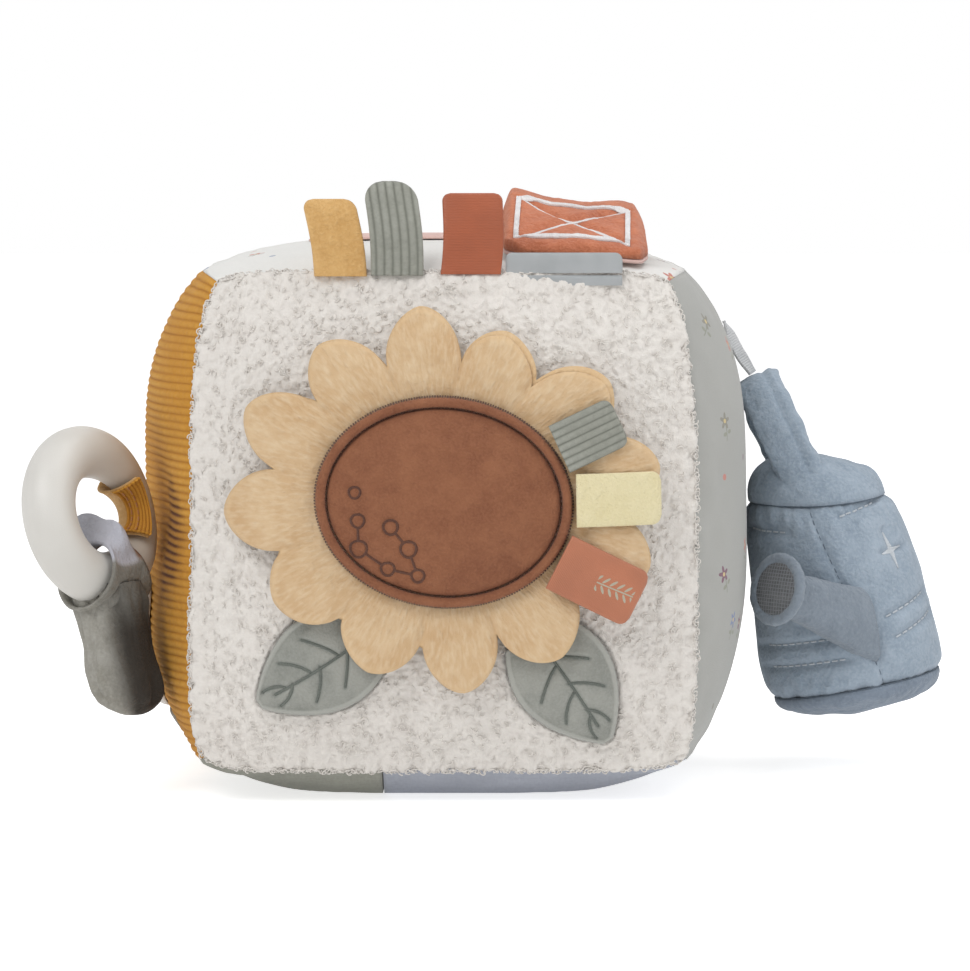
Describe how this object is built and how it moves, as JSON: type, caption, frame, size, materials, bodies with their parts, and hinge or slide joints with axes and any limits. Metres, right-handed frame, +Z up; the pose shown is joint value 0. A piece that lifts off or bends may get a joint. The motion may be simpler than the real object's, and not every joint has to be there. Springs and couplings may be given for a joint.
{
  "type": "soft fabric activity block",
  "caption": "Stuffed fabric activity block for babies with a flower, tags, leaves, a lifting flap, a teether ring with a velour toy and a hanging watering can.",
  "frame": {"origin": "on the floor under the middle of the block, in the middle of its flat underside", "axes": "+Z up out of the top panel, -Y out of the fleece face with the flower, +X to the right of someone who looks at that face"},
  "size_m": [0.26, 0.1687, 0.1681],
  "materials": {
    "polyester_filling": "matte",
    "cream_fleece": "matte",
    "ochre_corduroy": "matte",
    "pale_jersey": "matte",
    "sage_fabric": "matte",
    "blue_fabric": "matte",
    "yellow_plush": "matte",
    "brown_minky": "matte",
    "sage_corduroy": "matte",
    "cream_velour": "matte",
    "rust_satin": "satin",
    "sage_leaf": "matte",
    "grey_blue_label": "satin",
    "pink_cotton": "matte",
    "rust_plush": "matte",
    "cream_silicone": "satin",
    "sage_velour": "matte",
    "grey_ribbon": "satin",
    "blue_velour": "matte",
    "light_blue_velour": "matte",
    "charcoal_mesh": "matte"
  },
  "bodies": {
    "block": {"filling": "polyester_filling", "front_panel": "cream_fleece", "back_panel": "pale_jersey", "left_panel": "ochre_corduroy", "right_panel": "pale_jersey", "top_panel": "pale_jersey", "bottom_panel_sage": "sage_fabric", "bottom_panel_blue": "blue_fabric", "flower_petals_back": "yellow_plush", "flower_petals_front": "yellow_plush", "flower_centre_wadding": "polyester_filling", "flower_centre_cover": "brown_minky", "flower_centre_rim": "brown_minky", "top_patch": "pink_cotton", "loop_lining": "yellow_plush", "loop_strap": "ochre_corduroy", "side_fleece_pad": "cream_fleece", "side_foot_front": "sage_velour", "side_foot_back": "sage_velour"},
    "leaf_left": {"leaf_left_back": "sage_leaf", "leaf_left_front": "sage_leaf"},
    "leaf_right": {"leaf_right_back": "sage_leaf", "leaf_right_front": "sage_leaf"},
    "tag_flower_sage": {"flower_tag_sage": "sage_corduroy"},
    "tag_flower_cream": {"flower_tag_cream": "cream_velour"},
    "tag_flower_rust": {"flower_tag_rust": "rust_satin"},
    "tag_top_yellow": {"top_tag_yellow": "yellow_plush"},
    "tag_top_sage": {"top_tag_sage": "sage_corduroy"},
    "tag_top_rust": {"top_tag_rust": "rust_satin"},
    "label": {"woven_label": "grey_blue_label"},
    "barn_flap": {"barn_flap_lining": "pink_cotton", "barn_flap_wadding": "polyester_filling", "barn_flap_cover": "rust_plush"},
    "ring": {"teether_ring": "cream_silicone"},
    "velour_toy": {"velour_toy_sleeve": "sage_velour", "velour_toy_body": "sage_velour"},
    "ribbon": {"can_ribbon": "grey_ribbon"},
    "watering_can": {"can_body_cover": "blue_velour", "can_filling": "polyester_filling", "can_lid": "blue_velour", "can_base": "blue_velour", "can_handle": "blue_velour", "can_spout": "light_blue_velour", "can_rose_rim": "light_blue_velour", "can_rose_face": "charcoal_mesh"}
  },
  "joints": [
    {"name": "barn_flap_hinge", "type": "hinge", "parent": "block", "child": "barn_flap", "pos_m": [0.0355, -0.0115, 0.15122], "axis": [-1, 0, 0], "range_deg": [0, 85]},
    {"name": "top_tag_yellow_hinge", "type": "hinge", "parent": "block", "child": "tag_top_yellow", "pos_m": [-0.027, -0.0671, 0.14316], "axis": [1, 0, 0], "range_deg": [-20, 60], "stiffness_Nm_per_rad": 0.001},
    {"name": "top_tag_sage_hinge", "type": "hinge", "parent": "block", "child": "tag_top_sage", "pos_m": [-0.012, -0.06746, 0.14308], "axis": [1, 0, 0], "range_deg": [-20, 60], "stiffness_Nm_per_rad": 0.001},
    {"name": "top_tag_rust_hinge", "type": "hinge", "parent": "block", "child": "tag_top_rust", "pos_m": [0.0075, -0.06699, 0.14259], "axis": [1, 0, 0], "range_deg": [-8, 60], "stiffness_Nm_per_rad": 0.001},
    {"name": "woven_label_hinge", "type": "hinge", "parent": "block", "child": "label", "pos_m": [0.0322, -0.06661, 0.14252], "axis": [1, 0, 0], "range_deg": [-5, 60], "stiffness_Nm_per_rad": 0.001},
    {"name": "flower_tag_sage_hinge", "type": "hinge", "parent": "block", "child": "tag_flower_sage", "pos_m": [0.0307, -0.08732, 0.09658], "axis": [0.4226, 0, -0.9063], "range_deg": [0, 40], "stiffness_Nm_per_rad": 0.001},
    {"name": "flower_tag_cream_hinge", "type": "hinge", "parent": "block", "child": "tag_flower_cream", "pos_m": [0.0352, -0.08707, 0.08311], "axis": [0.0174, 0, -0.9998], "range_deg": [0, 40], "stiffness_Nm_per_rad": 0.001},
    {"name": "flower_tag_rust_hinge", "type": "hinge", "parent": "block", "child": "tag_flower_rust", "pos_m": [0.03066, -0.08753, 0.06713], "axis": [-0.454, 0, -0.891], "range_deg": [0, 40], "stiffness_Nm_per_rad": 0.001},
    {"name": "leaf_left_hinge", "type": "hinge", "parent": "block", "child": "leaf_left", "pos_m": [-0.0185, -0.07937, 0.0475], "axis": [-0.5446, 0, 0.8387], "range_deg": [0, 10], "stiffness_Nm_per_rad": 0.001},
    {"name": "leaf_right_hinge", "type": "hinge", "parent": "block", "child": "leaf_right", "pos_m": [0.024, -0.07918, 0.0475], "axis": [-0.829, 0, -0.5592], "range_deg": [0, 10], "stiffness_Nm_per_rad": 0.001},
    {"name": "teether_ring_hinge", "type": "hinge", "parent": "block", "child": "ring", "pos_m": [-0.08332, -0.03751, 0.0765], "axis": [-0.2006, 0.1353, 0.9703], "range_deg": [-20, 10]},
    {"name": "velour_toy_hinge", "type": "hinge", "parent": "ring", "child": "velour_toy", "pos_m": [-0.0912, -0.05668, 0.05971], "axis": [0.5592, 0.829, 0], "range_deg": [0, 40]},
    {"name": "can_ribbon_hinge", "type": "hinge", "parent": "block", "child": "ribbon", "pos_m": [0.0788, 0.006, 0.1265], "axis": [0, -1, 0], "range_deg": [0, 60]},
    {"name": "watering_can_hinge", "type": "hinge", "parent": "ribbon", "child": "watering_can", "pos_m": [0.08917, 0.006, 0.11408], "axis": [1, 0, 0], "range_deg": [-25, 25]}
  ]
}
